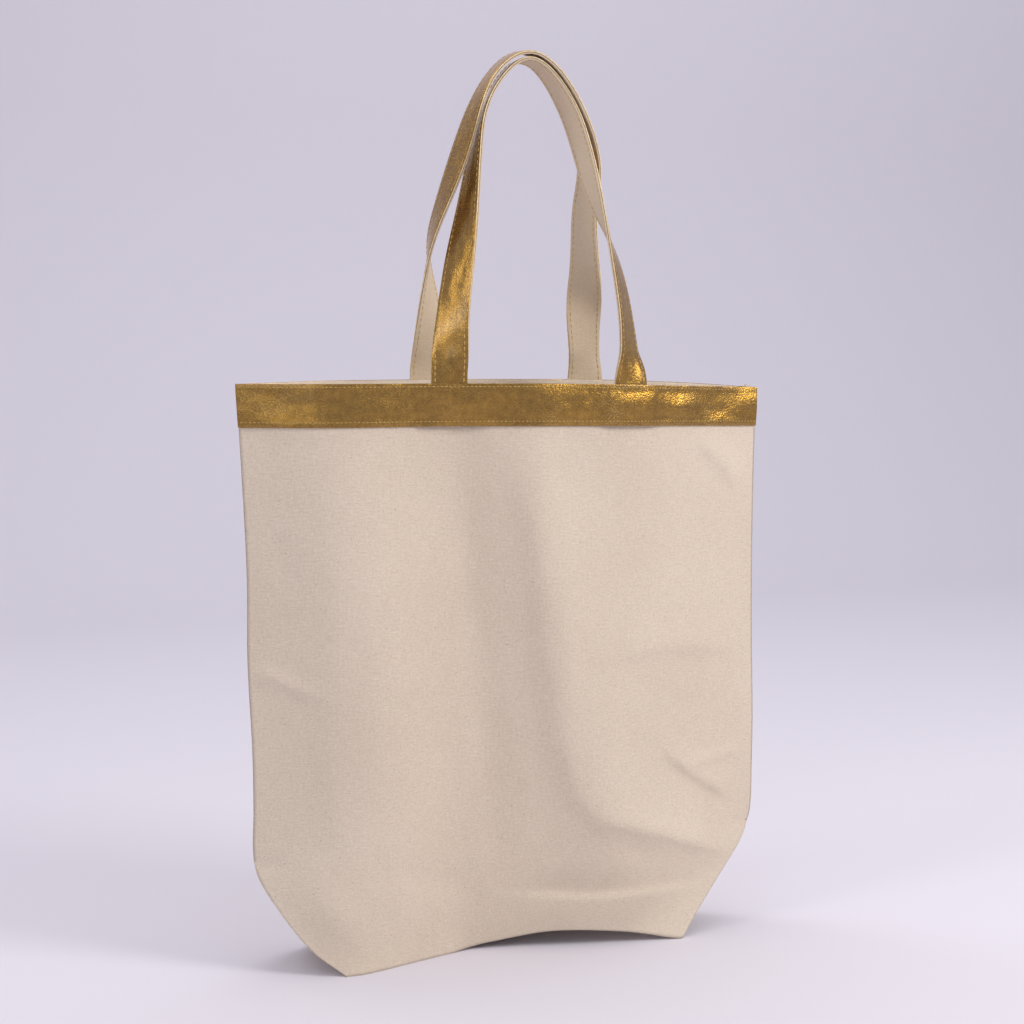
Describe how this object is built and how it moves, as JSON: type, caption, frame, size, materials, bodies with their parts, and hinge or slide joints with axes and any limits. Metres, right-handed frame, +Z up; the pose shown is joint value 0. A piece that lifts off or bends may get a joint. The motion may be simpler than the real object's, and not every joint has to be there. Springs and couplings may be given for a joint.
{
  "type": "canvas tote bag",
  "caption": "Open-topped canvas tote bag with boxed bottom corners, a metallic leatherette band round its mouth and two strap handles that twist and lean together.",
  "frame": {"origin": "on the floor, under the middle of the bag's bounding box", "axes": "+Z up, +X along the bag's width from its left to its right seen from the front, -Y out of the front panel"},
  "size_m": [0.3816, 0.0769, 0.6246],
  "materials": {
    "canvas": "natural ecru plain-weave cotton canvas, matte",
    "strap_canvas": "close-woven cotton canvas backing, matte",
    "gold_leatherette": "crinkled metallic gold foil leatherette, satin to glossy",
    "gold_thread": "gold sewing thread",
    "ecru_thread": "undyed sewing thread"
  },
  "bodies": {
    "bag": {"front_panel": "canvas", "back_panel": "canvas", "front_band": "gold_leatherette", "back_band": "gold_leatherette", "front_band_top_stitching": "gold_thread", "front_band_bottom_stitching": "gold_thread", "back_band_top_stitching": "gold_thread", "back_band_bottom_stitching": "gold_thread", "body_seam_thread": "ecru_thread", "front_left_strap_end": "gold_leatherette", "front_right_strap_end": "gold_leatherette", "back_left_strap_end": "gold_leatherette", "back_right_strap_end": "gold_leatherette"},
    "front_handle": {"front_strap_face": "gold_leatherette", "front_strap_backing": "strap_canvas", "front_strap_near_stitching": "gold_thread", "front_strap_far_stitching": "gold_thread"},
    "back_handle": {"back_strap_face": "gold_leatherette", "back_strap_backing": "strap_canvas", "back_strap_near_stitching": "gold_thread", "back_strap_far_stitching": "gold_thread"}
  },
  "joints": [
    {"name": "front_handle_fold", "type": "hinge", "parent": "bag", "child": "front_handle", "pos_m": [0.0157, -0.0368, 0.40415], "axis": [0.9989, -0.0463, 0], "range_deg": [0, 170]},
    {"name": "back_handle_fold", "type": "hinge", "parent": "bag", "child": "back_handle", "pos_m": [0.0114, 0.0352, 0.40415], "axis": [-0.9991, -0.0436, 0], "range_deg": [0, 170]}
  ]
}
